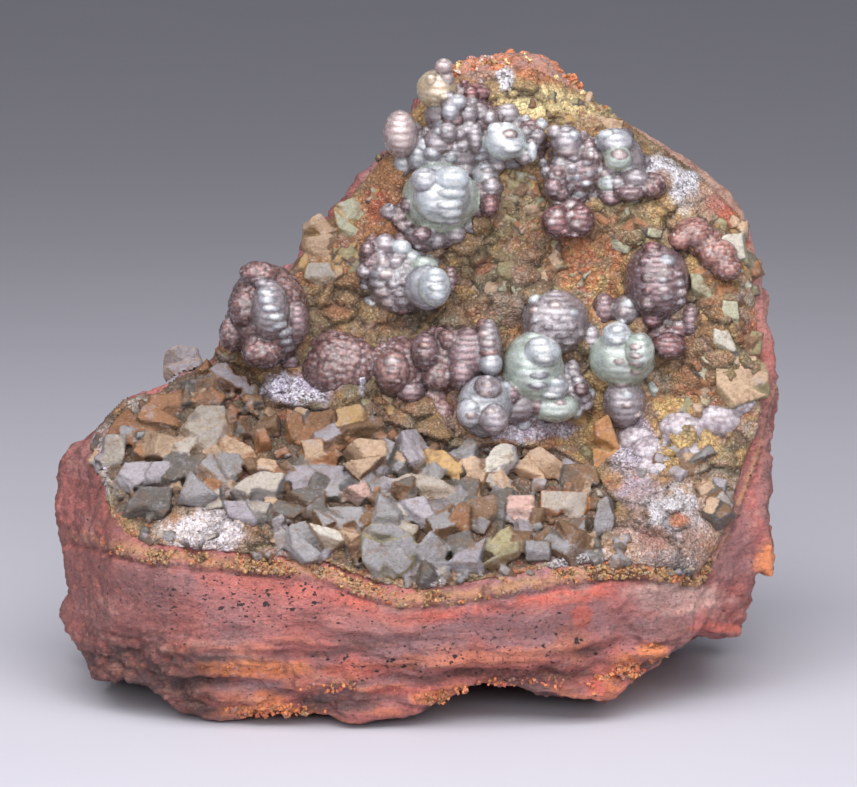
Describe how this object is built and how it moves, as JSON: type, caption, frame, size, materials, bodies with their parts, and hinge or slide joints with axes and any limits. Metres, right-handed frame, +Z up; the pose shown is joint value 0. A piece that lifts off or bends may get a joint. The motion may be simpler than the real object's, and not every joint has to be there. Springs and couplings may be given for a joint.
{
  "type": "tilasite mineral specimen",
  "caption": "Broken ironstone slab that stands by itself, with a ledge and hollow lined by blocky crystals and rounded glassy tilasite groups.",
  "frame": {"origin": "middle of the bounding box, at the flat face that the specimen rests on", "axes": "+X to the right along the slab, +Y from the crystal side to the back of the slab, +Z up"},
  "size_m": [0.0744, 0.0462, 0.0626],
  "materials": {
    "ironstone": "rough, brick-red ironstone with ochre and black pits",
    "crystals": "flat satin crystal faces, grey, beige and brown",
    "tilasite_white": "glassy, translucent, blue-white",
    "tilasite_lilac": "glassy, translucent, lilac-grey",
    "tilasite_plum": "glassy, pebbled, plum-brown"
  },
  "bodies": {
    "root": {"ironstone_matrix": "ironstone", "crystal_crust": "crystals", "tilasite_top_left": "tilasite_white", "tilasite_top_right": "tilasite_lilac", "tilasite_horns": "tilasite_lilac", "tilasite_left_egg": "tilasite_plum", "tilasite_band": "tilasite_plum", "tilasite_centre": "tilasite_white", "tilasite_right": "tilasite_plum", "tilasite_low_right": "tilasite_plum", "tilasite_ridge": "tilasite_plum"}
  },
  "joints": []
}
